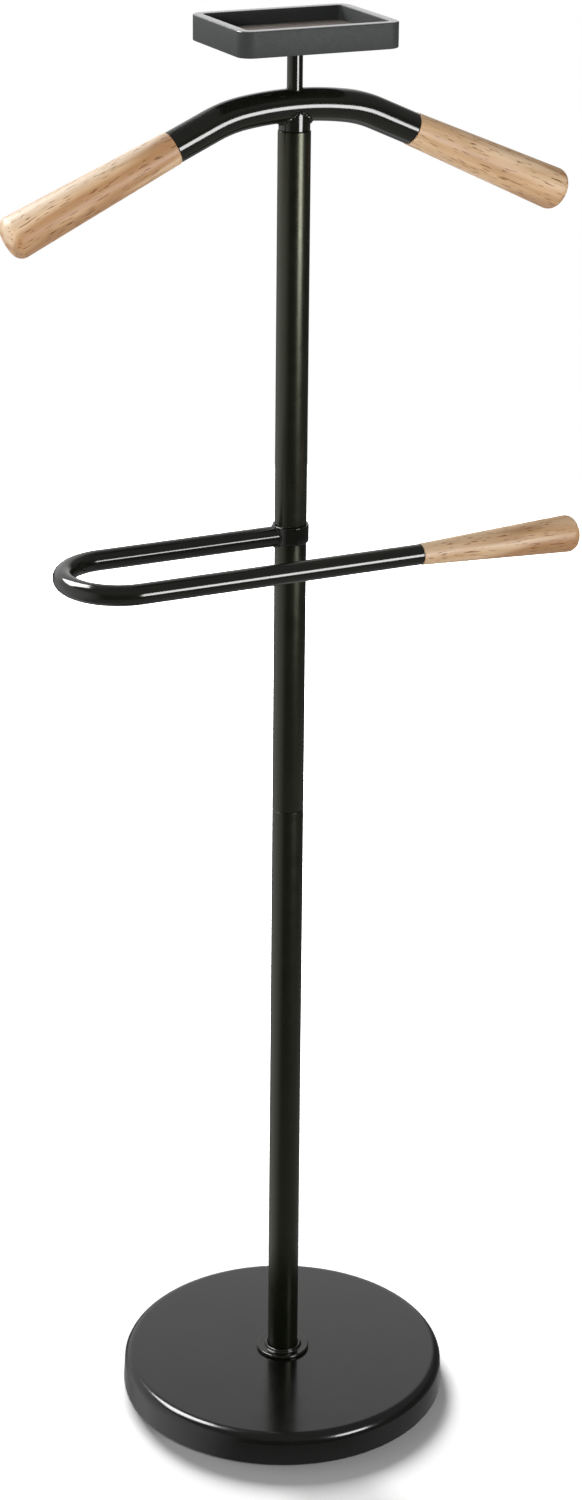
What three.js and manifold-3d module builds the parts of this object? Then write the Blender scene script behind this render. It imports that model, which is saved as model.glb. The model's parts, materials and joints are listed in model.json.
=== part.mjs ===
// Free-standing valet stand: a weighted round base, a three-section pole, a U-shaped trouser bar
// that swivels round the pole, a bent-tube coat hanger with wooden ends, and a tray on a post.
// Millimetres, +Z up. The origin is on the floor, under the centre of the base. The hanger lies
// along X and the trouser bar's front run is on the -Y side.
import * as THREE from 'three';
import { mergeVertices } from 'three/addons/utils/BufferGeometryUtils.js';
import Module from 'manifold-3d';

const wasm = await Module();
wasm.setup();

// ---- Driving dimensions ----
const GAP = 0.3; // clearance between pieces that touch or fit
const TIP_CHAMFER = 1; // on the ends of bolts, studs and tenons

const BASE_RADIUS = 133.6;
const BASE_HEIGHT = 27;
const BASE_EDGE_RADIUS = 8.5;
const BASE_FLARE = 0.9; // how much wider the skirt is at the floor
const BASE_WALL = 1.5;
const BASE_CLEARANCE = 1.2; // skirt edge above the floor

const FOOT_COUNT = 6;
const FOOT_RADIUS = 9;
const FOOT_HEIGHT = 2.4;
const FOOT_CIRCLE = 112;

const PLATE_THICKNESS = 1.5;
const WELL_RADIUS = 22; // well in the underside for the bolt head
const WELL_TOP = 13;

const BOLT_RADIUS = 5;
const BOLT_HEAD_FLATS = 17;
const BOLT_HEAD_HEIGHT = 6.4;
const WASHER_RADIUS = 17;
const WASHER_THICKNESS = 2;
const SPRING_WASHER_RADIUS = 9;
const SPRING_WASHER_THICKNESS = 2.2;

const COLLAR_RADIUS = 21.8;
const COLLAR_HEIGHT = 3;
const COLLAR_BEVEL = 1.2;
const COLLAR_LIP_RADIUS = 15;
const COLLAR_LIP_HEIGHT = 4.6;
const COLLAR_LIP_BEVEL = 0.6;

const POLE_RADIUS = 12.5;
const POLE_WALL = 1.2;
const POLE_SEAM = 522; // height of the joint between the lower and middle sections
const POLE_TOP = 1069;
const INSERT_LENGTH = 26;
const STUD_RADIUS = 5;
const STUD_REACH = 22; // how far a stud goes into each insert

const RING_RADIUS = 14.3;
const RING_HEIGHT = 14.2;
const RING_LIFT = 1.5; // the ring's middle above the trouser tube's axis
const RING_BEVEL = 0.8;
const SLEEVE_RADIUS = 11.2;

const TROUSER_BAR_HEIGHT = 752.3; // the trouser tube's axis
const TROUSER_TUBE_RADIUS = 8;
const TROUSER_TUBE_WALL = 1.2;
const TROUSER_RUN_SPACING = 84; // between the rear and front runs
const TROUSER_REACH_LEFT = 210; // outermost point of the bend
const TROUSER_TUBE_END = 70; // where the handle starts
const HANDLE_LENGTH = 135;
const HANDLE_THIN_RADIUS = 8.4;
const HANDLE_THICK_RADIUS = 15.1;
const HANDLE_EDGE_RADIUS = 8;
const HANDLE_TENON_LENGTH = 28;

const HANGER_HEIGHT = 1088; // tube axis at the middle
const HANGER_TUBE_RADIUS = 12.5;
const HANGER_TUBE_WALL = 1.2;
const ARCH_ANGLE = 9; // degrees of slope where the gentle arch ends
const ARCH_RADIUS = 268;
const ARM_ANGLE = 24.4; // degrees of slope of the straight arms
const BEND_RADIUS = 99;
const HANGER_TUBE_END = 98; // X of the joint with the wooden ends
const HANGER_END_LENGTH = 143.5;
const HANGER_END_THIN_RADIUS = 12.9;
const HANGER_END_THICK_RADIUS = 16.8;
const HANGER_END_EDGE_RADIUS = 8;
const HANGER_TENON_LENGTH = 30;
const TENON_CLEARANCE = 0.4; // glue space round the wooden tenons

const STUB_RADIUS = 11.9; // neck between the pole and the hanger tube
const STUB_WALL = 1.8;
const SPIGOT_LENGTH = 60;

const TRAY_LENGTH = 130;
const TRAY_WIDTH = 98;
const TRAY_TOP = 1153;
const TRAY_HEIGHT = 19.5;
const TRAY_CORNER_RADIUS = 11;
const TRAY_RIM = 8;
const TRAY_RECESS = 11;
const TRAY_EDGE_BEVEL = 0.8;
const LINER_THICKNESS = 1;

const TRAY_POST_RADIUS = 5.9;
const TRAY_POST_BORE = 3.3;
const FLANGE_RADIUS = 22;
const FLANGE_THICKNESS = 3;
const FLANGE_BEVEL = 0.5;
const FLANGE_SCREW_COUNT = 3;
const FLANGE_SCREW_CIRCLE = 15;
const FLANGE_SCREW_RADIUS = 1.5;
const FLANGE_SCREW_GRIP = 4.5; // length of the screws inside the tray
const FLANGE_SCREW_HEAD_RADIUS = 3;
const FLANGE_SCREW_HEAD_HEIGHT = 1.4;
const PIVOT_BOLT_RADIUS = 3;
const PIVOT_HEAD_RADIUS = 6;
const PIVOT_HEAD_HEIGHT = 3;
const PIVOT_WASHER_THICKNESS = 1.2;
const PIVOT_GRIP = 22; // thread of the pivot bolt inside the post
const PIVOT_WELL_RADIUS = 8; // well under the liner, for the pivot bolt's head and washer

const FINE = 60; // sides of the large round pieces
const ROUND = 32; // sides of the tubes
const COARSE = 20; // sides of small and hidden pieces

// ---- Worked-out dimensions ----
const POLE_BORE = POLE_RADIUS - POLE_WALL;
const INSERT_RADIUS = POLE_BORE - GAP;
const RING_BOTTOM = TROUSER_BAR_HEIGHT + RING_LIFT - RING_HEIGHT / 2;
const RING_TOP = RING_BOTTOM + RING_HEIGHT;
const TRAY_BOTTOM = TRAY_TOP - TRAY_HEIGHT;
const TRAY_FLOOR = TRAY_TOP - TRAY_RECESS - LINER_THICKNESS;
const POST_TOP = TRAY_BOTTOM - 2 * GAP - FLANGE_THICKNESS;
const PIVOT_WELL_FLOOR = TRAY_FLOOR - PIVOT_HEAD_HEIGHT - PIVOT_WASHER_THICKNESS - 3 * GAP;

// ---- Finishes ----
const FINISHES = {
  blackGloss: { color: 0x15151a, roughness: 0.22, metalness: 0.1 },
  blackSatin: { color: 0x19191e, roughness: 0.38, metalness: 0.1 },
  zinc: { color: 0xa9adb3, roughness: 0.35, metalness: 0.9 },
  cement: { color: 0x8d8a84, roughness: 0.95, metalness: 0 },
  rubber: { color: 0x141414, roughness: 0.9, metalness: 0 },
  nylon: { color: 0xe6e3da, roughness: 0.5, metalness: 0 },
  wood: { color: 0xd2b08a, roughness: 0.5, metalness: 0 },
  trayBlack: { color: 0x2f2f35, roughness: 0.55, metalness: 0 },
  liner: { color: 0x5d544d, roughness: 0.9, metalness: 0 },
};

// ---- Helpers ----
function piece(name, geometry, finish) {
  const mesh = new THREE.Mesh(geometry, new THREE.MeshStandardMaterial(FINISHES[finish]));
  mesh.name = name;
  return mesh;
}

function assembly(...children) {
  const group = new THREE.Group();
  group.add(...children);
  return group;
}

// A closed surface as a manifold solid, and back to a three.js geometry.
function toSolid(geometry) {
  const bare = geometry.clone();
  bare.deleteAttribute('normal');
  bare.deleteAttribute('uv');
  const merged = mergeVertices(bare, 1e-4);
  const mesh = new wasm.Mesh({
    numProp: 3,
    vertProperties: new Float32Array(merged.attributes.position.array),
    triVerts: new Uint32Array(merged.index.array),
  });
  return new wasm.Manifold(mesh);
}

function toGeometry(solid) {
  const mesh = solid.getMesh();
  const geometry = new THREE.BufferGeometry();
  geometry.setAttribute('position', new THREE.BufferAttribute(mesh.vertProperties, 3));
  geometry.setIndex(new THREE.BufferAttribute(mesh.triVerts, 1));
  geometry.computeVertexNormals();
  return geometry;
}

function cut(geometry, ...tools) {
  let solid = toSolid(geometry);
  for (const tool of tools) {
    solid = solid.subtract(toSolid(tool));
  }
  return toGeometry(solid);
}

// A profile of [radius, height] points turned about Z; closed on itself or on the axis.
function turned(points, sides = COARSE) {
  const profile = points.map(([radius, height]) => new THREE.Vector2(radius, height));
  return new THREE.LatheGeometry(profile, sides).rotateX(Math.PI / 2);
}

function disc(radius, bottom, top, sides = COARSE) {
  return turned([[0, bottom], [radius, bottom], [radius, top], [0, top]], sides);
}

function tube(outer, inner, bottom, top, sides = COARSE) {
  return turned([[inner, bottom], [outer, bottom], [outer, top], [inner, top], [inner, bottom]], sides);
}

// A tube whose outer edges are bevelled.
function bevelledTube(outer, inner, bottom, top, bevel, sides) {
  return turned([
    [inner, bottom],
    [outer - bevel, bottom],
    [outer, bottom + bevel],
    [outer, top - bevel],
    [outer - bevel, top],
    [inner, top],
    [inner, bottom],
  ], sides);
}

// Points of an arc in a [radius, height] profile, angles in degrees from +radius towards +height.
function arcPoints(centreRadius, centreHeight, radius, from, to, steps) {
  const points = [];
  for (let i = 0; i <= steps; i += 1) {
    const angle = THREE.MathUtils.degToRad(from + ((to - from) * i) / steps);
    points.push([centreRadius + radius * Math.cos(angle), centreHeight + radius * Math.sin(angle)]);
  }
  return points;
}

function polygonPoints(radius, sides) {
  const points = [];
  for (let i = 0; i < sides; i += 1) {
    const angle = (i * 2 * Math.PI) / sides;
    points.push(new THREE.Vector2(radius * Math.cos(angle), radius * Math.sin(angle)));
  }
  return points;
}

// Straight runs and bends joined end to end. Each part [curve, steps] takes that many equal
// steps of the path, so a straight run costs one step and a bend as many as its shape needs.
class SteppedPath extends THREE.Curve {
  constructor(parts) {
    super();
    this.parts = parts;
    this.steps = parts.reduce((total, [, steps]) => total + steps, 0);
  }

  getPoint(t, target = new THREE.Vector3()) {
    let step = t * this.steps;
    for (const [curve, steps] of this.parts) {
      if (step <= steps || curve === this.parts.at(-1)[0]) {
        return curve.getPoint(Math.min(step / steps, 1), target);
      }
      step -= steps;
    }
    return target;
  }

  getUtoTmapping(u) {
    return u;
  }
}

// A hollow round tube swept along a stepped path, open at both ends.
function sweptTube(parts, outer, inner, outerSides, innerSides) {
  const path = new SteppedPath(parts);
  const section = new THREE.Shape(polygonPoints(outer, outerSides));
  section.holes.push(new THREE.Path(polygonPoints(inner, innerSides)));
  return new THREE.ExtrudeGeometry(section, { steps: path.steps, extrudePath: path });
}

// Part of a circle in space, from a centre and two perpendicular radius vectors.
class ArcCurve extends THREE.Curve {
  constructor(centre, start, side, angle) {
    super();
    this.centre = centre;
    this.start = start;
    this.side = side;
    this.angle = angle;
  }

  getPoint(t, target = new THREE.Vector3()) {
    const angle = this.angle * t;
    return target.copy(this.centre)
      .addScaledVector(this.start, Math.cos(angle))
      .addScaledVector(this.side, Math.sin(angle));
  }
}

function roundedRectangle(length, width, radius, ShapeClass = THREE.Shape) {
  const x = length / 2 - radius;
  const y = width / 2 - radius;
  const shape = new ShapeClass();
  shape.absarc(x, y, radius, 0, Math.PI / 2, false);
  shape.absarc(-x, y, radius, Math.PI / 2, Math.PI, false);
  shape.absarc(-x, -y, radius, Math.PI, 1.5 * Math.PI, false);
  shape.absarc(x, -y, radius, 1.5 * Math.PI, 2 * Math.PI, false);
  shape.closePath();
  return shape;
}

function slab(shape, bottom, height, curveSegments = 5) {
  const geometry = new THREE.ExtrudeGeometry(shape, { depth: height, bevelEnabled: false, curveSegments });
  return geometry.translate(0, 0, bottom);
}

// A wooden grip turned about Z, thin end at 0, with a tenon below it that enters the tube.
function woodenGrip(length, thin, thick, edge, tenonRadius, tenonLength, sides) {
  const slope = (thick - thin) / length;
  return turned([
    [0, -tenonLength],
    [tenonRadius - TIP_CHAMFER, -tenonLength],
    [tenonRadius, -tenonLength + TIP_CHAMFER],
    [tenonRadius, GAP],
    [thin, GAP],
    [thick - slope * edge, length - edge],
    ...arcPoints(thick - edge, length - edge, edge, 20, 90, 3),
    [0, length],
  ], sides);
}

// ---- Base ----
const PLATE_BOTTOM = FOOT_HEIGHT + GAP;
const WEIGHT_BOTTOM = PLATE_BOTTOM + PLATE_THICKNESS + GAP;
const WEIGHT_TOP = BASE_HEIGHT - BASE_WALL - GAP;
const WEIGHT_RADIUS = BASE_RADIUS - BASE_WALL - GAP;
const BOLT_CLEARANCE = BOLT_RADIUS + 1;

function baseCover() {
  const edge = BASE_EDGE_RADIUS;
  const inside = edge - BASE_WALL;
  return turned([
    [BASE_RADIUS + BASE_FLARE, BASE_CLEARANCE],
    [BASE_RADIUS, BASE_HEIGHT - edge],
    ...arcPoints(BASE_RADIUS - edge, BASE_HEIGHT - edge, edge, 18, 90, 4),
    [BOLT_CLEARANCE, BASE_HEIGHT],
    [BOLT_CLEARANCE, BASE_HEIGHT - BASE_WALL],
    ...arcPoints(BASE_RADIUS - edge, BASE_HEIGHT - edge, inside, 90, 0, 3),
    [BASE_RADIUS + BASE_FLARE - BASE_WALL, BASE_CLEARANCE],
    [BASE_RADIUS + BASE_FLARE, BASE_CLEARANCE],
  ], FINE);
}

function baseWeight() {
  const edge = BASE_EDGE_RADIUS - BASE_WALL - GAP;
  return turned([
    [WELL_RADIUS, WEIGHT_BOTTOM],
    [WEIGHT_RADIUS, WEIGHT_BOTTOM],
    ...arcPoints(WEIGHT_RADIUS - edge, WEIGHT_TOP - edge, edge, 0, 90, 3),
    [BOLT_CLEARANCE, WEIGHT_TOP],
    [BOLT_CLEARANCE, WELL_TOP],
    [WELL_RADIUS, WELL_TOP],
    [WELL_RADIUS, WEIGHT_BOTTOM],
  ], FINE);
}

function rubberFeet() {
  const feet = [];
  for (let i = 0; i < FOOT_COUNT; i += 1) {
    const angle = ((i + 0.5) * 2 * Math.PI) / FOOT_COUNT;
    const foot = piece(`rubber_foot_${i + 1}`, disc(FOOT_RADIUS, 0, FOOT_HEIGHT), 'rubber');
    foot.position.set(FOOT_CIRCLE * Math.cos(angle), FOOT_CIRCLE * Math.sin(angle), 0);
    feet.push(foot);
  }
  return feet;
}

function hexBolt(headBottom, tip) {
  const head = new THREE.CylinderGeometry(1, 1, BOLT_HEAD_HEIGHT, 6).rotateX(Math.PI / 2);
  const corner = BOLT_HEAD_FLATS / Math.sqrt(3);
  head.scale(corner, corner, 1).translate(0, 0, headBottom + BOLT_HEAD_HEIGHT / 2);
  const shank = turned([
    [0, headBottom + TIP_CHAMFER],
    [BOLT_RADIUS, headBottom + TIP_CHAMFER],
    [BOLT_RADIUS, tip - TIP_CHAMFER],
    [BOLT_RADIUS - TIP_CHAMFER, tip],
    [0, tip],
  ]);
  return toGeometry(toSolid(head).add(toSolid(shank)));
}

function base() {
  const washerTop = WELL_TOP - GAP;
  const washerBottom = washerTop - WASHER_THICKNESS;
  const springTop = washerBottom - GAP;
  const springBottom = springTop - SPRING_WASHER_THICKNESS;
  const headBottom = springBottom - GAP - BOLT_HEAD_HEIGHT;
  const weightEdge = WEIGHT_RADIUS - GAP;
  const plateTop = PLATE_BOTTOM + PLATE_THICKNESS;
  const springBore = BOLT_RADIUS + GAP;
  const collarBottom = BASE_HEIGHT + GAP;
  const collarBore = POLE_RADIUS + GAP;
  const boltTip = BASE_HEIGHT + INSERT_LENGTH;
  const collar = turned([
    [collarBore, collarBottom],
    [COLLAR_RADIUS, collarBottom],
    [COLLAR_RADIUS, collarBottom + COLLAR_HEIGHT - COLLAR_BEVEL],
    [COLLAR_RADIUS - COLLAR_BEVEL, collarBottom + COLLAR_HEIGHT],
    [COLLAR_LIP_RADIUS, collarBottom + COLLAR_HEIGHT],
    [COLLAR_LIP_RADIUS - COLLAR_LIP_BEVEL, collarBottom + COLLAR_LIP_HEIGHT],
    [collarBore, collarBottom + COLLAR_LIP_HEIGHT],
    [collarBore, collarBottom],
  ], ROUND);
  return assembly(
    piece('base_cover', baseCover(), 'blackSatin'),
    piece('base_weight', baseWeight(), 'cement'),
    piece('base_plate', tube(weightEdge, WELL_RADIUS, PLATE_BOTTOM, plateTop, FINE), 'zinc'),
    piece('base_washer', tube(WASHER_RADIUS, BOLT_CLEARANCE, washerBottom, washerTop), 'zinc'),
    piece('base_spring_washer', tube(SPRING_WASHER_RADIUS, springBore, springBottom, springTop), 'zinc'),
    piece('base_bolt', hexBolt(headBottom, boltTip), 'zinc'),
    piece('base_collar', collar, 'blackSatin'),
    ...rubberFeet(),
  );
}

// ---- Pole ----
function poleSection(name, bottom, top) {
  return piece(name, tube(POLE_RADIUS, POLE_BORE, bottom, top, ROUND), 'blackSatin');
}

// A threaded insert fixed in the end of a pole section.
function insert(name, bottom) {
  const geometry = tube(INSERT_RADIUS, STUD_RADIUS + GAP, bottom, bottom + INSERT_LENGTH);
  return piece(name, geometry, 'zinc');
}

function stud(name, bottom, top) {
  const tip = STUD_RADIUS - TIP_CHAMFER;
  const geometry = turned([
    [0, bottom],
    [tip, bottom],
    [STUD_RADIUS, bottom + TIP_CHAMFER],
    [STUD_RADIUS, top - TIP_CHAMFER],
    [tip, top],
    [0, top],
  ]);
  return piece(name, geometry, 'zinc');
}

function pole() {
  const foot = BASE_HEIGHT + GAP;
  const seamBelow = POLE_SEAM - GAP / 2;
  const seamAbove = POLE_SEAM + GAP / 2;
  const ringBelow = RING_BOTTOM - GAP;
  const ringAbove = RING_TOP + GAP;
  const sleeve = tube(SLEEVE_RADIUS, STUD_RADIUS + GAP, RING_BOTTOM, RING_TOP, ROUND);
  return assembly(
    poleSection('lower_pole', foot, seamBelow),
    poleSection('middle_pole', seamAbove, ringBelow),
    poleSection('upper_pole', ringAbove, POLE_TOP),
    insert('lower_pole_foot_insert', foot),
    insert('lower_pole_top_insert', seamBelow - INSERT_LENGTH),
    insert('middle_pole_foot_insert', seamAbove),
    insert('middle_pole_top_insert', ringBelow - INSERT_LENGTH),
    insert('upper_pole_foot_insert', ringAbove),
    stud('pole_seam_stud', seamBelow - STUD_REACH, seamAbove + STUD_REACH),
    stud('pole_ring_stud', ringBelow - STUD_REACH, ringAbove + STUD_REACH),
    piece('ring_sleeve', sleeve, 'nylon'),
  );
}

// ---- Trouser bar, in the ring's own frame: Z = 0 at the tube axis ----
function trouserTube() {
  const radius = TROUSER_RUN_SPACING / 2;
  const bendX = -(TROUSER_REACH_LEFT - TROUSER_TUBE_RADIUS - radius);
  const rearStart = new THREE.Vector3(-SLEEVE_RADIUS, 0, 0);
  const rearEnd = new THREE.Vector3(bendX, 0, 0);
  const frontStart = new THREE.Vector3(bendX, -TROUSER_RUN_SPACING, 0);
  const frontEnd = new THREE.Vector3(TROUSER_TUBE_END, -TROUSER_RUN_SPACING, 0);
  const bend = new ArcCurve(
    new THREE.Vector3(bendX, -radius, 0),
    new THREE.Vector3(0, radius, 0),
    new THREE.Vector3(-radius, 0, 0),
    Math.PI,
  );
  const swept = sweptTube([
    [new THREE.LineCurve3(rearStart, rearEnd), 1],
    [bend, 16],
    [new THREE.LineCurve3(frontStart, frontEnd), 1],
  ], TROUSER_TUBE_RADIUS, TROUSER_TUBE_RADIUS - TROUSER_TUBE_WALL, 20, 12);
  const ringSpace = disc(RING_RADIUS + GAP, -RING_HEIGHT, RING_HEIGHT, ROUND);
  return cut(swept, ringSpace);
}

function trouserBar() {
  const ring = bevelledTube(
    RING_RADIUS,
    SLEEVE_RADIUS + GAP,
    RING_BOTTOM - TROUSER_BAR_HEIGHT,
    RING_TOP - TROUSER_BAR_HEIGHT,
    RING_BEVEL,
    ROUND,
  );
  const handle = piece('trouser_bar_handle', woodenGrip(
    HANDLE_LENGTH,
    HANDLE_THIN_RADIUS,
    HANDLE_THICK_RADIUS,
    HANDLE_EDGE_RADIUS,
    TROUSER_TUBE_RADIUS - TROUSER_TUBE_WALL - TENON_CLEARANCE,
    HANDLE_TENON_LENGTH,
    ROUND,
  ), 'wood');
  handle.rotation.y = Math.PI / 2;
  handle.position.set(TROUSER_TUBE_END, -TROUSER_RUN_SPACING, 0);
  const group = assembly(
    piece('trouser_bar_ring', ring, 'blackGloss'),
    piece('trouser_bar_tube', trouserTube(), 'blackGloss'),
    handle,
  );
  group.position.z = TROUSER_BAR_HEIGHT;
  return group;
}

// ---- Hanger, in its own frame: Z = 0 at the tube axis in the middle ----
const ARCH = THREE.MathUtils.degToRad(ARCH_ANGLE);
const ARM = THREE.MathUtils.degToRad(ARM_ANGLE);
const ARCH_END_X = ARCH_RADIUS * Math.sin(ARCH);
const ARCH_END_Z = -ARCH_RADIUS * (1 - Math.cos(ARCH));
const BEND_END_X = ARCH_END_X + BEND_RADIUS * (Math.sin(ARM) - Math.sin(ARCH));
const BEND_END_Z = ARCH_END_Z - BEND_RADIUS * (Math.cos(ARCH) - Math.cos(ARM));
const ARM_END_Z = BEND_END_Z - (HANGER_TUBE_END - BEND_END_X) * Math.tan(ARM);

// An arc of the hanger's axis in the XZ plane, between two slopes in radians, going to +X.
function slopeArc(centreX, centreZ, radius, from, to) {
  const start = new THREE.Vector3(Math.sin(from), 0, Math.cos(from)).multiplyScalar(radius);
  const side = new THREE.Vector3(Math.cos(from), 0, -Math.sin(from)).multiplyScalar(radius);
  return new ArcCurve(new THREE.Vector3(centreX, 0, centreZ), start, side, to - from);
}

function hangerTube() {
  const bendCentreX = ARCH_END_X - BEND_RADIUS * Math.sin(ARCH);
  const bendCentreZ = ARCH_END_Z - BEND_RADIUS * Math.cos(ARCH);
  const leftEnd = new THREE.Vector3(-HANGER_TUBE_END, 0, ARM_END_Z);
  const leftBend = new THREE.Vector3(-BEND_END_X, 0, BEND_END_Z);
  const rightBend = new THREE.Vector3(BEND_END_X, 0, BEND_END_Z);
  const rightEnd = new THREE.Vector3(HANGER_TUBE_END, 0, ARM_END_Z);
  return sweptTube([
    [new THREE.LineCurve3(leftEnd, leftBend), 1],
    [slopeArc(-bendCentreX, bendCentreZ, BEND_RADIUS, -ARM, -ARCH), 3],
    [slopeArc(0, -ARCH_RADIUS, ARCH_RADIUS, -ARCH, ARCH), 4],
    [slopeArc(bendCentreX, bendCentreZ, BEND_RADIUS, ARCH, ARM), 3],
    [new THREE.LineCurve3(rightBend, rightEnd), 1],
  ], HANGER_TUBE_RADIUS, HANGER_TUBE_RADIUS - HANGER_TUBE_WALL, 28, 16);
}

// A straight cylinder along X that clears the slightly arched tube near the middle.
function saddle() {
  const reach = 2 * STUB_RADIUS;
  return disc(HANGER_TUBE_RADIUS + 2 * GAP, -reach, reach, ROUND).rotateY(Math.PI / 2);
}

function hangerStub() {
  const shoulder = POLE_TOP + GAP - HANGER_HEIGHT;
  const bore = INSERT_RADIUS - STUB_WALL;
  const neck = turned([
    [bore, shoulder - SPIGOT_LENGTH],
    [INSERT_RADIUS - TIP_CHAMFER, shoulder - SPIGOT_LENGTH],
    [INSERT_RADIUS, shoulder - SPIGOT_LENGTH + TIP_CHAMFER],
    [INSERT_RADIUS, shoulder],
    [STUB_RADIUS, shoulder],
    [STUB_RADIUS, 0],
    [bore, 0],
    [bore, shoulder - SPIGOT_LENGTH],
  ], ROUND);
  return cut(neck, saddle());
}

function hangerEnd(name, side) {
  const end = piece(name, woodenGrip(
    HANGER_END_LENGTH,
    HANGER_END_THIN_RADIUS,
    HANGER_END_THICK_RADIUS,
    HANGER_END_EDGE_RADIUS,
    HANGER_TUBE_RADIUS - HANGER_TUBE_WALL - TENON_CLEARANCE,
    HANGER_TENON_LENGTH,
    ROUND,
  ), 'wood');
  end.rotation.y = side * (Math.PI / 2 + ARM);
  end.position.set(side * HANGER_TUBE_END, 0, ARM_END_Z);
  return end;
}

function trayPost() {
  const bottom = HANGER_TUBE_RADIUS / 2;
  const post = tube(TRAY_POST_RADIUS, TRAY_POST_BORE, bottom, POST_TOP - HANGER_HEIGHT);
  return cut(post, saddle());
}

function pivotBolt(headBottom) {
  const tip = POST_TOP - PIVOT_GRIP;
  return turned([
    [0, tip],
    [PIVOT_BOLT_RADIUS - TIP_CHAMFER, tip],
    [PIVOT_BOLT_RADIUS, tip + TIP_CHAMFER],
    [PIVOT_BOLT_RADIUS, headBottom],
    [PIVOT_HEAD_RADIUS, headBottom],
    [PIVOT_HEAD_RADIUS, headBottom + PIVOT_HEAD_HEIGHT - TIP_CHAMFER],
    [PIVOT_HEAD_RADIUS - TIP_CHAMFER, headBottom + PIVOT_HEAD_HEIGHT],
    [0, headBottom + PIVOT_HEAD_HEIGHT],
  ]);
}

function hanger() {
  const washerBottom = PIVOT_WELL_FLOOR + GAP;
  const washerTop = washerBottom + PIVOT_WASHER_THICKNESS;
  const washer = tube(PIVOT_WELL_RADIUS - 2 * GAP, PIVOT_BOLT_RADIUS + GAP, washerBottom, washerTop);
  const bolt = pivotBolt(washerTop + GAP);
  const group = assembly(
    piece('hanger_tube', hangerTube(), 'blackGloss'),
    piece('hanger_stub', hangerStub(), 'blackGloss'),
    hangerEnd('hanger_end_left', -1),
    hangerEnd('hanger_end_right', 1),
    piece('tray_post', trayPost(), 'blackGloss'),
  );
  group.position.z = HANGER_HEIGHT;
  return assembly(
    group,
    piece('tray_pivot_bolt', bolt, 'zinc'),
    piece('tray_pivot_washer', washer, 'zinc'),
  );
}

// ---- Tray ----
function trayBody() {
  const bevel = TRAY_EDGE_BEVEL;
  const outline = roundedRectangle(
    TRAY_LENGTH - 2 * bevel,
    TRAY_WIDTH - 2 * bevel,
    TRAY_CORNER_RADIUS - bevel,
  );
  const block = new THREE.ExtrudeGeometry(outline, {
    depth: TRAY_HEIGHT - 2 * bevel,
    bevelEnabled: true,
    bevelThickness: bevel,
    bevelSize: bevel,
    bevelSegments: 1,
    curveSegments: 5,
  }).translate(0, 0, TRAY_BOTTOM + bevel);
  const recessShape = roundedRectangle(
    TRAY_LENGTH - 2 * TRAY_RIM,
    TRAY_WIDTH - 2 * TRAY_RIM,
    TRAY_CORNER_RADIUS - TRAY_RIM / 2,
  );
  const recess = slab(recessShape, TRAY_FLOOR, TRAY_HEIGHT);
  const boltHole = disc(PIVOT_BOLT_RADIUS + GAP, TRAY_BOTTOM - 1, TRAY_TOP);
  const headWell = disc(PIVOT_WELL_RADIUS, PIVOT_WELL_FLOOR, TRAY_TOP);
  const screwHoles = flangeScrewPlaces().map(
    ([x, y]) => disc(FLANGE_SCREW_RADIUS + GAP, TRAY_BOTTOM - 1, TRAY_BOTTOM + FLANGE_SCREW_GRIP + GAP, 12)
      .translate(x, y, 0),
  );
  return cut(block, recess, boltHole, headWell, ...screwHoles);
}

function flangeScrewPlaces() {
  const places = [];
  for (let i = 0; i < FLANGE_SCREW_COUNT; i += 1) {
    const angle = ((i + 0.25) * 2 * Math.PI) / FLANGE_SCREW_COUNT;
    places.push([FLANGE_SCREW_CIRCLE * Math.cos(angle), FLANGE_SCREW_CIRCLE * Math.sin(angle)]);
  }
  return places;
}

function trayFlange() {
  const bottom = POST_TOP + GAP;
  const top = bottom + FLANGE_THICKNESS;
  const plate = bevelledTube(FLANGE_RADIUS, PIVOT_BOLT_RADIUS + GAP, bottom, top, FLANGE_BEVEL, ROUND);
  const holes = flangeScrewPlaces().map(
    ([x, y]) => disc(FLANGE_SCREW_RADIUS + GAP, bottom - 1, top + 1, 12).translate(x, y, 0),
  );
  return cut(plate, ...holes);
}

function flangeScrews() {
  const seat = POST_TOP;
  const tip = TRAY_BOTTOM + FLANGE_SCREW_GRIP;
  return flangeScrewPlaces().map(([x, y], index) => {
    const geometry = turned([
      [0, seat - FLANGE_SCREW_HEAD_HEIGHT],
      [FLANGE_SCREW_HEAD_RADIUS - TIP_CHAMFER, seat - FLANGE_SCREW_HEAD_HEIGHT],
      [FLANGE_SCREW_HEAD_RADIUS, seat],
      [FLANGE_SCREW_RADIUS, seat],
      [FLANGE_SCREW_RADIUS, tip - TIP_CHAMFER],
      [0, tip],
    ], 16);
    const screw = piece(`tray_flange_screw_${index + 1}`, geometry, 'zinc');
    screw.position.set(x, y, 0);
    return screw;
  });
}

function tray() {
  const inset = TRAY_RIM + GAP;
  const linerShape = roundedRectangle(
    TRAY_LENGTH - 2 * inset,
    TRAY_WIDTH - 2 * inset,
    TRAY_CORNER_RADIUS - TRAY_RIM / 2 - GAP,
  );
  return assembly(
    piece('tray_body', trayBody(), 'trayBlack'),
    piece('tray_liner', slab(linerShape, TRAY_FLOOR + GAP, LINER_THICKNESS - GAP), 'liner'),
    piece('tray_flange', trayFlange(), 'blackGloss'),
    ...flangeScrews(),
  );
}

export default assembly(base(), pole(), trouserBar(), hanger(), tray());
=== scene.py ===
import json
import math

import bpy
import bmesh
from mathutils import Matrix, Vector


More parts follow.
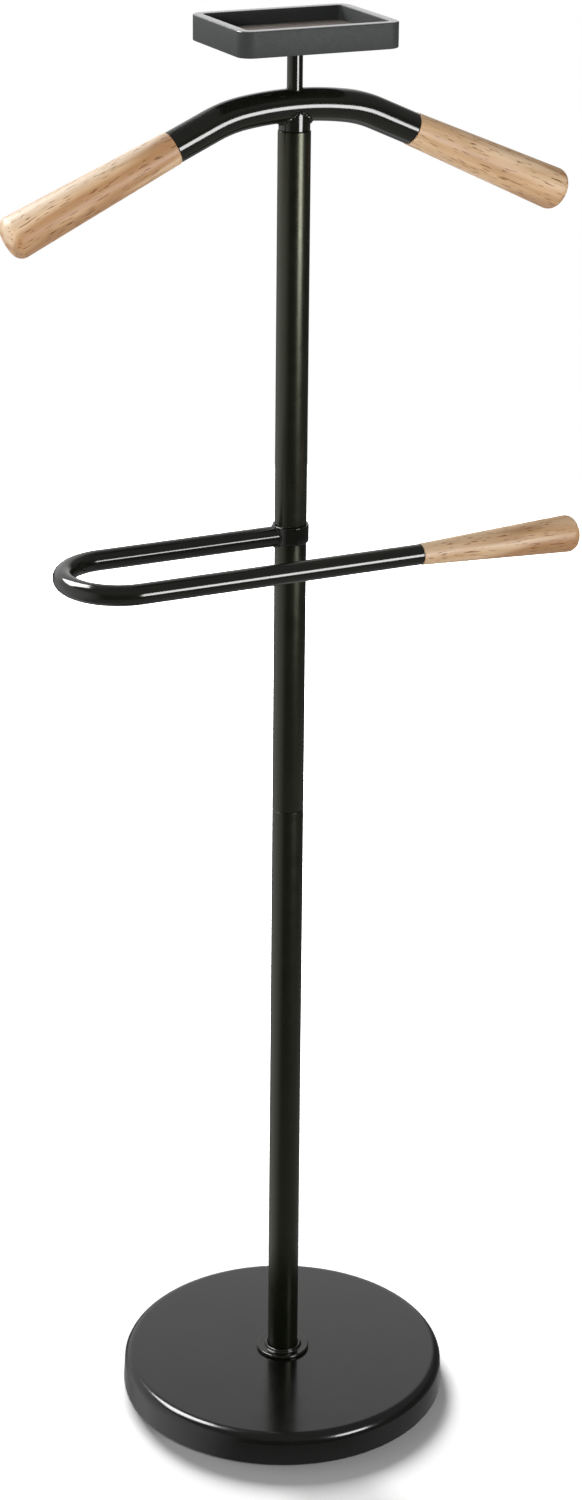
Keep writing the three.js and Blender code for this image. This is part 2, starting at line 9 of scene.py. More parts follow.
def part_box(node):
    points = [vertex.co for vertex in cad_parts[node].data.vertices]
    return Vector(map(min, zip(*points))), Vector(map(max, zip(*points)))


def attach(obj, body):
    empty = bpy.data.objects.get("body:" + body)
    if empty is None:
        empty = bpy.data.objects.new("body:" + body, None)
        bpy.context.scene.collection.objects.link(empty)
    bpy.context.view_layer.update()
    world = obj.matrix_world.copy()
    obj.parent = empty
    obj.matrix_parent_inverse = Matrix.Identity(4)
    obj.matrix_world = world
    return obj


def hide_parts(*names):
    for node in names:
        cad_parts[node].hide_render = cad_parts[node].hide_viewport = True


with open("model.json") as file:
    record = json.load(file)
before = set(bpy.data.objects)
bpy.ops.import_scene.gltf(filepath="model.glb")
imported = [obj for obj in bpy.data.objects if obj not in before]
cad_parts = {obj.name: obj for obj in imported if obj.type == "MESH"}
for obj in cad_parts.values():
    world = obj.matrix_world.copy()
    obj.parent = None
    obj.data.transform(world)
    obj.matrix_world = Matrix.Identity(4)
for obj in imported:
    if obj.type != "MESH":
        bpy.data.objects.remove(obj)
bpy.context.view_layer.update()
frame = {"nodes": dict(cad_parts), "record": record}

# Everything is in metres, in the row frame: the pole stands on Z, the hanger lies along X and the
# trouser bar's front run is on the -Y side.
MM = 0.001

# ---- Sizes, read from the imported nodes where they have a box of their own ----
BASE_LOW, BASE_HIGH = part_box("base_cover")
COLLAR_LOW, COLLAR_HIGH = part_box("base_collar")
LOWER_LOW, LOWER_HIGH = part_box("lower_pole")
MIDDLE_LOW, MIDDLE_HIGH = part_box("middle_pole")
UPPER_LOW, UPPER_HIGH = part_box("upper_pole")
RING_LOW, RING_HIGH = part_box("trouser_bar_ring")
BAR_LOW, BAR_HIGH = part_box("trouser_bar_tube")
HANDLE_LOW, HANDLE_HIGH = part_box("trouser_bar_handle")
HANGER_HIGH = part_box("hanger_tube")[1]
STUB_LOW, STUB_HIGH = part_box("hanger_stub")
POST_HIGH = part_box("tray_post")[1]
TRAY_LOW, TRAY_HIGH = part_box("tray_body")
LINER_LOW, LINER_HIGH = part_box("tray_liner")

POLE_RADIUS = LOWER_HIGH.x
BAR_RADIUS = (BAR_HIGH.z - BAR_LOW.z) / 2
BAR_HEIGHT = (BAR_HIGH.z + BAR_LOW.z) / 2
BAR_BEND_RADIUS = (BAR_HIGH.y - BAR_LOW.y) / 2 - BAR_RADIUS
HANGER_RADIUS = HANGER_HIGH.y
HANGER_AXIS = HANGER_HIGH.z - HANGER_RADIUS

# The hanger tube's line: a gentle arch, two tighter bends, two straight arms.
ARCH_ANGLE = math.radians(9)
ARCH_RADIUS = 268 * MM
ARM_ANGLE = math.radians(24.4)
BEND_RADIUS = 99 * MM
TUBE_WALL = 1.2 * MM

# The wooden grips, beside the sizes of their boxes.
GRIP_THIN_GROWTH = 0.4 * MM  # how much wider than its tube a grip starts
GRIP_THICK_GROWTH = 0.25 * MM  # how much wider than its CAD box a grip ends
GRIP_EDGE = 8 * MM  # the round at a grip's free end
TENON_INSET = 1.6 * MM  # how much thinner than its tube a tenon is
HANDLE_TENON = 28 * MM
SHOULDER_TENON = 30 * MM


# ---- Mesh helpers ----
def arc(centre, radius, start, end, steps):
    """Points (a, b) on an arc, angles in radians."""
    angles = [start + (end - start) * i / steps for i in range(steps + 1)]
    return [(centre[0] + radius * math.cos(t), centre[1] + radius * math.sin(t)) for t in angles]


def softened(corners, steps=5):
    """A closed outline from corners (a, b, radius), each radius above 0 turned into a round."""
    points = []
    count = len(corners)
    for i, (a, b, radius) in enumerate(corners):
        here = Vector((a, b))
        if radius <= 0:
            points.append((a, b))
            continue
        before = (Vector(corners[i - 1][:2]) - here).normalized()
        after = (Vector(corners[(i + 1) % count][:2]) - here).normalized()
        half = before.angle(after) / 2
        reach = radius / math.tan(half)
        centre = here + (before + after).normalized() * (radius / math.sin(half))
        first = here + before * reach - centre
        last = here + after * reach - centre
        turn = first.angle_signed(last)
        for k in range(steps + 1):
            spoke = first.copy()
            spoke.rotate(Matrix.Rotation(-turn * k / steps, 2))
            points.append(tuple(centre + spoke))
    return points


def loft(rings, wrap=False):
    """A mesh through rings of equal point counts. Closed on itself with wrap, else capped."""
    bm = bmesh.new()
    rows = [[bm.verts.new(p) for p in ring] for ring in rings]
    pairs = list(zip(rows, rows[1:]))
    if wrap:
        pairs.append((rows[-1], rows[0]))
    count = len(rows[0])
    for lower, upper in pairs:
        for i in range(count):
            j = (i + 1) % count
            bm.faces.new((lower[i], lower[j], upper[j], upper[i]))
    if not wrap:
        bm.faces.new(list(reversed(rows[0])))
        bm.faces.new(rows[-1])
    bmesh.ops.remove_doubles(bm, verts=bm.verts, dist=1e-7)
    bmesh.ops.recalc_face_normals(bm, faces=bm.faces)
    return bm


def turned(outline, sides=96):
    """A closed outline of (radius, height) points turned about Z."""
    angles = [2 * math.pi * i / sides for i in range(sides)]
    spokes = [(math.cos(t), math.sin(t)) for t in angles]
    return loft([[(r * c, r * s, z) for c, s in spokes] for r, z in outline], wrap=True)


def swept(stations, outer, inner, sides=56, edge=0.4 * MM):
    """A hollow tube along stations of (point, tangent, side), with eased end edges."""
    last = len(stations) - 1
    outside = [(i, outer) for i in range(len(stations))]
    inside = [(i, inner) for i in reversed(range(len(stations)))]
    ring_plan = [(0, outer - edge)] + outside + [(last, outer - edge)] + inside
    eased = [Vector(p) for p, _, _ in stations]
    eased[0] = eased[0] + stations[0][1] * edge
    eased[-1] = eased[-1] - stations[-1][1] * edge
    rings = []
    for place, (i, radius) in enumerate(ring_plan):
        point, tangent, side = stations[i]
        centre = eased[i] if 0 < place <= len(stations) else Vector(point)
        lift = tangent.cross(side)
        angles = [2 * math.pi * k / sides for k in range(sides)]
        rings.append([centre + (side * math.cos(t) + lift * math.sin(t)) * radius for t in angles])
    return loft(rings, wrap=True)


def bead(curve, radius, ripple, ripples, sides=10, steps=160):
    """A weld bead along a closed curve given as a function of angle, its thickness rippled."""
    points = [Vector(curve(2 * math.pi * i / steps)) for i in range(steps)]
    centre = sum(points, Vector()) / steps
    rings = []
    for i, point in enumerate(points):
        tangent = (points[(i + 1) % steps] - points[i - 1]).normalized()
        outward = point - centre
        outward = (outward - tangent * outward.dot(tangent)).normalized()
        binormal = tangent.cross(outward)
        thickness = radius + ripple * math.sin(ripples * 2 * math.pi * i / steps)
        angles = [2 * math.pi * k / sides for k in range(sides)]
        rings.append([
            point + (outward * math.cos(t) + binormal * math.sin(t)) * thickness
            for t in angles
        ])
    return loft(rings, wrap=True)


def outline_ring(length, width, radius, height, per_corner=10):
    """A rounded rectangle's points at one height, centred on the tray."""
    centre = (TRAY_LOW + TRAY_HIGH) / 2
    points = []
    corners = ((1, 1, 0), (-1, 1, 1), (-1, -1, 2), (1, -1, 3))
    for sign_x, sign_y, quarter in corners:
        middle = (sign_x * (length / 2 - radius), sign_y * (width / 2 - radius))
        start = quarter * math.pi / 2
        points += arc(middle, radius, start, start + math.pi / 2, per_corner)
    return [(centre.x + x, centre.y + y, height) for x, y in points]


def piece(name, bm, body, material, replaced=(), place=None, sharp=35):
    """A visible piece made from a mesh, riding on a body in place of the CAD nodes it replaces."""
    mesh = bpy.data.meshes.new(name)
    bm.to_mesh(mesh)
    bm.free()
    for polygon in mesh.polygons:
        polygon.use_smooth = True
    mesh.set_sharp_from_angle(angle=math.radians(sharp))
    mesh.materials.append(material)
    made = bpy.data.objects.new(name, mesh)
    bpy.context.scene.collection.objects.link(made)
    if place is not None:
        made.matrix_world = place
    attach(made, body)
    if replaced:
        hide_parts(*replaced)
    return made


# ---- Material helpers ----
class Nodes:
    """A material's node tree with short calls for the nodes used here."""

    def __init__(self, name):
        self.material = bpy.data.materials.new(name)
        self.material.use_nodes = True
        self.tree = self.material.node_tree
        self.shader = self.tree.nodes["Principled BSDF"]
        self.coord = self.tree.nodes.new("ShaderNodeTexCoord").outputs["Object"]

    def link(self, output, target):
        self.tree.links.new(output, target)

    def stretched(self, x, y, z, source=None):
        node = self.tree.nodes.new("ShaderNodeMapping")
        node.inputs["Scale"].default_value = (x, y, z)
        self.link(source or self.coord, node.inputs["Vector"])
        return node.outputs["Vector"]

    def noise(self, scale, detail=3, roughness=0.5, distortion=0.0, source=None, output="Fac"):
        node = self.tree.nodes.new("ShaderNodeTexNoise")
        node.inputs["Scale"].default_value = scale
        node.inputs["Detail"].default_value = detail
        node.inputs["Roughness"].default_value = roughness
        node.inputs["Distortion"].default_value = distortion
        self.link(source or self.coord, node.inputs["Vector"])
        return node.outputs[output]

    def ramp(self, value, *stops):
        node = self.tree.nodes.new("ShaderNodeValToRGB")
        elements = node.color_ramp.elements
        while len(elements) < len(stops):
            elements.new(0.5)
        for element, (position, colour) in zip(elements, stops):
            element.position = position
            element.color = (*colour, 1)
        self.link(value, node.inputs["Fac"])
        return node.outputs["Color"]

    def span(self, value, low, high, from_low=0.3, from_high=0.7):
        node = self.tree.nodes.new("ShaderNodeMapRange")
        node.inputs["From Min"].default_value = from_low
        node.inputs["From Max"].default_value = from_high
        node.inputs["To Min"].default_value = low
        node.inputs["To Max"].default_value = high
        self.link(value, node.inputs["Value"])
        return node.outputs["Result"]

    def mix(self, factor, first, second, blend="MIX"):
        node = self.tree.nodes.new("ShaderNodeMix")
        node.data_type = "RGBA"
        node.blend_type = blend
        for socket, value in ((node.inputs[0], factor), (node.inputs[6], first), (node.inputs[7], second)):
            if isinstance(value, bpy.types.NodeSocket):
                self.link(value, socket)
            elif isinstance(value, tuple):
                socket.default_value = (*value, 1)
            else:
                socket.default_value = value
        return node.outputs[2]

    def bump(self, height, strength, distance, normal=None):
        node = self.tree.nodes.new("ShaderNodeBump")
        node.inputs["Strength"].default_value = strength
        node.inputs["Distance"].default_value = distance
        self.link(height, node.inputs["Height"])
        if normal is not None:
            self.link(normal, node.inputs["Normal"])
        return node.outputs["Normal"]

    def finish(self, colour, roughness, normal=None, **fixed):
        self.link(colour, self.shader.inputs["Base Color"])
        self.link(roughness, self.shader.inputs["Roughness"])
        if normal is not None:
            self.link(normal, self.shader.inputs["Normal"])
        for socket, value in fixed.items():
            self.shader.inputs[socket.replace("_", " ")].default_value = value
        return self.material


def paint(name, dark, light, rough_low, rough_high, grain_scale, grain_depth, peel_depth, tint=(1, 1)):
    """Black paint: faint mottling, uneven gloss, a fine grain and a slight orange peel.
    The tint is how much red and blue its reflections keep."""
    nodes = Nodes(name)
    colour = nodes.ramp(nodes.noise(45, 4), (0.35, dark), (0.65, light))
    rough = nodes.span(nodes.noise(80, 5, 0.6), rough_low, rough_high)
    peel = nodes.bump(nodes.noise(260, 2), 0.5, peel_depth)
    grain = nodes.bump(nodes.noise(grain_scale, 2, 0.6), 0.6, grain_depth, peel)
    return nodes.finish(colour, rough, grain, Specular_Tint=(tint[0], 1, tint[1], 1))


def wood(name, offset, painted_light_factor):
    """Pale lacquered hardwood with its grain along the piece's own Z. Its colour is multiplied by a
    lightness factor, browner below 1 and paler above, which paints light and shade into the wood.
    """
    nodes = Nodes(name)
    shift = nodes.tree.nodes.new("ShaderNodeVectorMath")
    shift.operation = "ADD"
    shift.inputs[1].default_value = offset
    nodes.link(nodes.coord, shift.inputs[0])
    start = shift.outputs[0]
    drift = nodes.noise(9, 2, source=nodes.stretched(1, 1, 0.6, start), output="Color")
    wander = nodes.tree.nodes.new("ShaderNodeVectorMath")
    wander.operation = "MULTIPLY_ADD"
    wander.inputs[1].default_value = (0.012, 0.012, 0.0)
    nodes.link(drift, wander.inputs[0])
    nodes.link(start, wander.inputs[2])
    flow = wander.outputs[0]
    tone = nodes.noise(60, 3, 0.55, source=nodes.stretched(1, 1, 0.09, flow))
    base = nodes.ramp(
        tone,
        (0.30, (0.38, 0.205, 0.090)),
        (0.44, (0.54, 0.335, 0.175)),
        (0.55, (0.66, 0.46, 0.285)),
        (0.70, (0.74, 0.56, 0.38)),
    )
    band = nodes.noise(34, 2, 0.5, source=nodes.stretched(1, 1, 0.16, flow))
    band_mask = nodes.ramp(band, (0.52, (0, 0, 0)), (0.60, (1, 1, 1)))
    banded = nodes.mix(band_mask, base, (0.40, 0.215, 0.095))
    fibre = nodes.noise(420, 3, 0.6, source=nodes.stretched(1, 1, 0.05, flow))
    fibre_tone = nodes.ramp(fibre, (0.35, (0.80, 0.76, 0.70)), (0.6, (1, 1, 1)))
    fibred = nodes.mix(0.55, banded, nodes.mix(1.0, banded, fibre_tone, "MULTIPLY"))
    pore = nodes.noise(900, 1, 0.4, source=nodes.stretched(1, 1, 0.10, flow))
    pore_mask = nodes.ramp(pore, (0.62, (0, 0, 0)), (0.70, (1, 1, 1)))
    dashed = nodes.mix(pore_mask, fibred, nodes.mix(1.0, fibred, (0.42, 0.30, 0.18), "MULTIPLY"))
    rough = nodes.span(fibre, 0.44, 0.58)
    grain = nodes.bump(pore_mask, 0.25, -0.00008)
    normal = nodes.bump(fibre, 0.15, 0.0001, grain)
    # Painted light and shade: the lightness factor makes one piece's wood lighter or darker for the light
    # that falls on it.
    painted_light_colour = nodes.mix(1.0, dashed, (painted_light_factor, painted_light_factor ** 1.2, painted_light_factor ** 1.5), "MULTIPLY")
    return nodes.finish(painted_light_colour, rough, normal, Coat_Weight=0.08, Coat_Roughness=0.25)


def plain(name, dark, light, rough_low, rough_high, scale, depth, **fixed):
    """A surface with mottled colour, uneven roughness and a fine bump."""
    nodes = Nodes(name)
    texture = nodes.noise(scale, 4, 0.6)
    colour = nodes.ramp(texture, (0.3, dark), (0.7, light))
    rough = nodes.span(nodes.noise(scale * 0.4, 3), rough_low, rough_high)
    return nodes.finish(colour, rough, nodes.bump(texture, 0.5, depth), **fixed)


# Each line's numbers follow the helper's: two colours, two roughnesses, then scales and depths.
MATERIALS = {
    "black_gloss_paint": paint(
        "black_gloss_paint", (0.0048, 0.0054, 0.0030), (0.0062, 0.0070, 0.0040),
        0.10, 0.16, 900, 0.000004, 0.00001),
    "black_satin_paint": paint(
        "black_satin_paint", (0.0026, 0.0034, 0.0012), (0.0036, 0.0046, 0.0018),
        0.26, 0.34, 1100, 0.00001, 0.00001, (0.98, 0.76)),
    "zinc_steel": plain(
        "zinc_steel", (0.50, 0.51, 0.52), (0.66, 0.67, 0.69), 0.28, 0.42, 300, 0.00002, Metallic=1.0),
    "cement": plain("cement", (0.30, 0.29, 0.27), (0.48, 0.47, 0.44), 0.85, 0.98, 220, 0.0004),
    "black_rubber": plain(
        "black_rubber", (0.012, 0.012, 0.012), (0.024, 0.024, 0.024), 0.7, 0.85, 700, 0.00004),
    "nylon": plain("nylon", (0.70, 0.68, 0.62), (0.80, 0.78, 0.73), 0.40, 0.55, 150, 0.00002),
    "tray_black": plain(
        "tray_black", (0.034, 0.037, 0.036), (0.050, 0.053, 0.053), 0.50, 0.60, 1400, 0.00004,
        Specular_IOR_Level=0.2),
    # The rim's lighter grey is a painted sheen, standing in for the light the tray's top edge catches at a
    # grazing angle; its coat and low roughness are its real gloss.
    "tray_rim": plain(
        "tray_rim", (0.10, 0.10, 0.10), (0.13, 0.13, 0.13), 0.18, 0.26, 1400, 0.00002,
        Coat_Weight=0.6, Coat_Roughness=0.1),
    # The liner's colour is lighter than its own brown-grey, painted light that makes up for the shade in
    # the tray's recess.
    "tray_liner": plain(
        "tray_liner", (0.30, 0.25, 0.215), (0.42, 0.35, 0.30), 0.40, 0.60, 1100, 0.00006),
}
BASE_PAINT = paint(
    "base_paint", (0.0025, 0.0027, 0.0022), (0.0040, 0.0042, 0.0036), 0.14, 0.19, 850, 0.00003, 0.00001)
GLOSS = MATERIALS["black_gloss_paint"]
SATIN = MATERIALS["black_satin_paint"]


def dress_cad_nodes():
    """Gives every CAD node that stays the material of its record slot."""
    for entry in frame["record"]["subparts"]:
        node = frame["nodes"][entry["node"]]
        if entry["material_slot"] in MATERIALS:
            node.data.materials.clear()
            node.data.materials.append(MATERIALS[entry["material_slot"]])


# ---- Base ----
def make_base():
    edge = 8.5 * MM
    wall = 1.5 * MM
    flare = 0.9 * MM
    skirt, radius = BASE_HIGH.x, BASE_HIGH.x - flare
    hole = 6 * MM  # hidden by the collar
    hem = 0.4 * MM
    low, top = BASE_LOW.z, BASE_HIGH.z
    outline = softened([
        (skirt, low, hem),
        (radius, top - edge, 20 * MM),
        (radius - 0.2 * MM, top, edge - 0.2 * MM),
        (hole, top, 0),
        (hole, top - wall, 0),
        (radius - wall, top - wall, edge - wall),
        (skirt - wall, low, hem),
    ], steps=10)
    piece("base_shell", turned(outline, 224), "stand", BASE_PAINT, ["base_cover"])
    lip = 15 * MM
    bore = COLLAR_HIGH.x - 9 * MM
    shelf = COLLAR_LOW.z + 2.2 * MM
    collar = softened([
        (bore, COLLAR_LOW.z, 0),
        (COLLAR_HIGH.x, COLLAR_LOW.z, 0.2 * MM),
        (COLLAR_HIGH.x, shelf + 0.6 * MM, 1.1 * MM),
        (lip + 0.6 * MM, shelf, 0.9 * MM),
        (lip, COLLAR_HIGH.z, 1.0 * MM),
        (bore, COLLAR_HIGH.z, 0.5 * MM),
    ])
    piece("collar_trim", turned(collar, 96), "stand", GLOSS, ["base_collar"])
    for i in range(1, 7):
        node = f"rubber_foot_{i}"
        low_corner, high_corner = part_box(node)
        centre = (low_corner + high_corner) / 2
        radius = (high_corner.x - low_corner.x) / 2
        height = high_corner.z - low_corner.z
        pad = softened([
            (0, 0, 0),
            (radius - 0.6 * MM, 0, 0.6 * MM),
            (radius, height, 0.4 * MM),
            (0, height, 0),
        ])
        place = Matrix.Translation((centre.x, centre.y, low_corner.z))
        rubber = MATERIALS["black_rubber"]
        piece(f"foot_pad_{i}", turned(pad, 40), "stand", rubber, [node], place)


# ---- Pole ----
def make_pole():
    bore = POLE_RADIUS - TUBE_WALL
    ease = 0.35 * MM
    for name, node, low, high in (
        ("pole_lower", "lower_pole", LOWER_LOW.z, LOWER_HIGH.z),
        ("pole_middle", "middle_pole", MIDDLE_LOW.z, MIDDLE_HIGH.z),
        ("pole_upper", "upper_pole", UPPER_LOW.z, UPPER_HIGH.z),
    ):
        outline = softened([
            (bore, low, 0),
            (POLE_RADIUS, low, ease),
            (POLE_RADIUS, high, ease),
            (bore, high, 0.2 * MM),
        ])
        piece(name, turned(outline, 96), "stand", SATIN, [node])


# ---- Trouser bar ----
def bar_stations():
    """Points, tangents and side vectors along the trouser tube, from the ring to the handle."""
    plane_normal = Vector((0, 0, 1))
    centre_x = BAR_LOW.x + BAR_RADIUS + BAR_BEND_RADIUS
    ring_wall = RING_HIGH.x - 1.5 * MM
    points = [(Vector((-ring_wall, 0, BAR_HEIGHT)), Vector((-1, 0, 0)))]
    steps = 56
    for i in range(steps + 1):
        angle = math.pi / 2 + math.pi * i / steps
        point = Vector((
            centre_x + BAR_BEND_RADIUS * math.cos(angle),
            -BAR_BEND_RADIUS + BAR_BEND_RADIUS * math.sin(angle),
            BAR_HEIGHT,
        ))
        points.append((point, Vector((-math.sin(angle), math.cos(angle), 0))))
    points.append((Vector((BAR_HIGH.x, -2 * BAR_BEND_RADIUS, BAR_HEIGHT)), Vector((1, 0, 0))))
    return [(point, tangent, plane_normal) for point, tangent in points]


def grip(length, thin, thick, edge, tenon_radius, tenon_length):
    """A turned wooden grip along its own Z, from 0 to length, with a tenon below."""
    return turned(softened([
        (0, -tenon_length, 0),
        (tenon_radius, -tenon_length, 1 * MM),
        (tenon_radius, 0.3 * MM, 0),
        (thin, 0.3 * MM, 0.5 * MM),
        (thick, length, edge),
        (0, length, 0),
    ], steps=10), 96)


def ring_weld(angle):
    """Where the trouser tube meets the ring's outside."""
    y = BAR_RADIUS * math.cos(angle)
    z = BAR_RADIUS * math.sin(angle)
    return -math.sqrt(RING_HIGH.x ** 2 - y ** 2), y, BAR_HEIGHT + z


def make_trouser_bar():
    bore = 11.5 * MM
    ring = softened([
        (bore, RING_LOW.z, 0.2 * MM),
        (RING_HIGH.x, RING_LOW.z, 1.2 * MM),
        (RING_HIGH.x, RING_HIGH.z, 0.7 * MM),
        (bore, RING_HIGH.z, 0.2 * MM),
    ])
    piece("swivel_ring", turned(ring, 96), "trouser_bar", GLOSS, ["trouser_bar_ring"])
    tube = swept(bar_stations(), BAR_RADIUS, BAR_RADIUS - TUBE_WALL)
    piece("trouser_tube", tube, "trouser_bar", GLOSS, ["trouser_bar_tube"])
    weld = bead(ring_weld, 0.9 * MM, 0.12 * MM, 18)
    piece("ring_weld_bead", weld, "trouser_bar", GLOSS)
    thick = (HANDLE_HIGH.z - HANDLE_LOW.z) / 2 + GRIP_THICK_GROWTH
    length = HANDLE_HIGH.x - BAR_HIGH.x
    thin = BAR_RADIUS + GRIP_THIN_GROWTH
    handle = grip(length, thin, thick, GRIP_EDGE, BAR_RADIUS - TENON_INSET, HANDLE_TENON)
    start = Matrix.Translation((BAR_HIGH.x, -2 * BAR_BEND_RADIUS, BAR_HEIGHT))
    place = start @ Matrix.Rotation(math.pi / 2, 4, "Y")
    # The handle's lightness factor below 1 is partly its browner wood and partly painted shade, holding
    # back the right softbox's light on it.
    material = wood("handle_wood", (0.31, 0.12, 0.4), 0.88)
    piece(
        "wooden_handle", handle, "trouser_bar", material, ["trouser_bar_handle"], place)


# ---- Hanger ----
def hanger_stations():
    """Points, tangents and side vectors along the hanger tube, from its left end to its right."""
    right = []
    arch_end_x = ARCH_RADIUS * math.sin(ARCH_ANGLE)
    arch_end_z = -ARCH_RADIUS * (1 - math.cos(ARCH_ANGLE))
    for i in range(11):
        slope = ARCH_ANGLE * i / 10
        right.append((ARCH_RADIUS * math.sin(slope), -ARCH_RADIUS * (1 - math.cos(slope)), slope))
    for i in range(1, 11):
        slope = ARCH_ANGLE + (ARM_ANGLE - ARCH_ANGLE) * i / 10
        right.append((
            arch_end_x + BEND_RADIUS * (math.sin(slope) - math.sin(ARCH_ANGLE)),
            arch_end_z - BEND_RADIUS * (math.cos(ARCH_ANGLE) - math.cos(slope)),
            slope,
        ))
    end_x = HANGER_HIGH.x - end_offset()
    last_x, last_z, _ = right[-1]
    right.append((end_x, last_z - (end_x - last_x) * math.tan(ARM_ANGLE), ARM_ANGLE))
    left = [(-x, z, -slope) for x, z, slope in reversed(right[1:])]
    stations = []
    for x, z, slope in left + right:
        tangent = Vector((math.cos(slope), 0, -math.sin(slope)))
        stations.append((Vector((x, 0, HANGER_AXIS + z)), tangent, Vector((0, 1, 0))))
    return stations


def end_offset():
    """How far the tube's sloping end face reaches past its axis, in X."""
    return HANGER_RADIUS * math.sin(ARM_ANGLE)


def stub_saddle(angle):
    """Where the neck meets the hanger tube from below."""
    x = STUB_HIGH.x * math.cos(angle)
    y = STUB_HIGH.x * math.sin(angle)
    return x, y, HANGER_AXIS - math.sqrt(HANGER_RADIUS ** 2 - y ** 2) - x ** 2 / (2 * ARCH_RADIUS)


def post_saddle(angle):
    """Where the tray post meets the hanger tube from above."""
    x = POST_HIGH.x * math.cos(angle)
    y = POST_HIGH.x * math.sin(angle)
    return x, y, HANGER_AXIS + math.sqrt(HANGER_RADIUS ** 2 - y ** 2) - x ** 2 / (2 * ARCH_RADIUS)


def coped_tube(rows, saddle, inner, sides=96):
    """A hollow round neck from (radius, height) rows, its last ring shaped to a saddle."""
    spokes = [2 * math.pi * i / sides for i in range(sides)]
    outer = [[(r * math.cos(t), r * math.sin(t), z) for t in spokes] for r, z in rows]
    outer.append([saddle(t) for t in spokes])
    first_z = rows[0][1]
    top = [
        (inner * math.cos(t), inner * math.sin(t), saddle(t)[2])
        for t in spokes
    ]
    bottom = [(inner * math.cos(t), inner * math.sin(t), first_z) for t in spokes]
    return loft(outer + [top, bottom], wrap=True)


def make_hanger():
    tube = swept(hanger_stations(), HANGER_RADIUS, HANGER_RADIUS - TUBE_WALL, sides=72)
    piece("shoulder_tube", tube, "hanger", GLOSS, ["hanger_tube"])
    shoulder = UPPER_HIGH.z + 0.3 * MM
    spigot = POLE_RADIUS - TUBE_WALL - 0.3 * MM
    ease = 0.5 * MM
    rows = [
        (spigot - 1 * MM, STUB_LOW.z),
        (spigot, STUB_LOW.z + 1 * MM),
        (spigot, shoulder - 0.05 * MM),
        (STUB_HIGH.x - ease, shoulder),
        (STUB_HIGH.x, shoulder + ease),
    ]
    neck = coped_tube(rows, stub_saddle, 9.2 * MM)
    piece("neck", neck, "hanger", GLOSS, ["hanger_stub"])
    piece("neck_weld_bead", bead(stub_saddle, 1.5 * MM, 0.5 * MM, 24), "hanger", GLOSS)
    post_rows = [(POST_HIGH.x - ease, POST_HIGH.z), (POST_HIGH.x, POST_HIGH.z - ease)]
    post = coped_tube(post_rows, post_saddle, 3.3 * MM, 64)
    piece("post", post, "hanger", GLOSS, ["tray_post"])
    piece("post_weld_bead", bead(post_saddle, 0.6 * MM, 0.08 * MM, 12), "hanger", GLOSS)
    tube_end = hanger_stations()[-1][0]
    tenon = HANGER_RADIUS - TENON_INSET
    # The shoulders' lightness factors above 1 are painted light, the left shoulder most, for the light
    # that falls on it from the left.
    for name, node, side, offset, painted_light_factor in (
        ("left_shoulder", "hanger_end_left", -1, (0.05, 0.44, 0.1), 1.06),
        ("right_shoulder", "hanger_end_right", 1, (0.71, 0.23, 0.9), 1.03),
    ):
        low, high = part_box(node)
        thick = high.y + GRIP_THICK_GROWTH
        reach = max(abs(low.x), abs(high.x))
        drop = (thick - GRIP_EDGE) * math.sin(ARM_ANGLE)
        length = (reach - tube_end.x - drop - GRIP_EDGE) / math.cos(ARM_ANGLE) + GRIP_EDGE
        shape = grip(length, HANGER_RADIUS + GRIP_THIN_GROWTH, thick, GRIP_EDGE, tenon, SHOULDER_TENON)
        turn = Matrix.Rotation(side * (math.pi / 2 + ARM_ANGLE), 4, "Y")
        place = Matrix.Translation((side * tube_end.x, 0, tube_end.z)) @ turn
        piece(name, shape, "hanger", wood(name + "_wood", offset, painted_light_factor), [node], place)


# ---- Tray ----
def make_tray():
    length, width = TRAY_HIGH.x - TRAY_LOW.x, TRAY_HIGH.y - TRAY_LOW.y
    corner = 11 * MM
    rim = 8 * MM
    top, bottom = TRAY_HIGH.z, TRAY_LOW.z
    floor = LINER_LOW.z - 0.3 * MM
    fillet = 1.6 * MM
    outer_edge = 0.9 * MM
    inner_edge = 0.7 * MM
    # The profile as (inset from the outside, height), from the underside round to the floor.
    steps = [(0.8 * MM, bottom), (0.25 * MM, bottom + 0.25 * MM), (0, bottom + 0.8 * MM)]
    steps += [(0.0, top - outer_edge)]
    steps += [
        (outer_edge - a, b)
        for a, b in arc((0, top - outer_edge), outer_edge, 0.3, math.pi / 2, 4)
    ]
    steps += [
        (rim - inner_edge + a, b)
        for a, b in arc((0, top - inner_edge), inner_edge, math.pi / 2, 0.0, 4)
    ]
    steps += [
        (rim + 0.4 * MM + fillet - a, b)
        for a, b in arc((0, floor + fillet), fillet, 0.0, -math.pi / 2, 5)
    ]
    rings = [
        outline_ring(length - 2 * inset, width - 2 * inset, max(corner - inset, 3 * MM), height)
        for inset, height in steps
    ]
    made = piece("tray_shell", loft(rings), "tray", MATERIALS["tray_black"], ["tray_body"])
    # The top rim's flat faces take the lighter material, a painted sheen along the edge.
    made.data.materials.append(MATERIALS["tray_rim"])
    for polygon in made.data.polygons:
        if polygon.normal.z > 0.6 and polygon.center.z > top - 1.5 * MM:
            polygon.material_index = 1
    liner_length, liner_width = LINER_HIGH.x - LINER_LOW.x, LINER_HIGH.y - LINER_LOW.y
    ease = 0.3 * MM
    liner_corner = 6 * MM
    liner_steps = (
        (0, LINER_LOW.z),
        (0, LINER_HIGH.z - ease),
        (0.1 * MM, LINER_HIGH.z - 0.1 * MM),
        (ease, LINER_HIGH.z),
    )
    liner_rings = [
        outline_ring(liner_length - 2 * inset, liner_width - 2 * inset, liner_corner - inset, height)
        for inset, height in liner_steps
    ]
    piece("tray_mat", loft(liner_rings), "tray", MATERIALS["tray_liner"], ["tray_liner"])


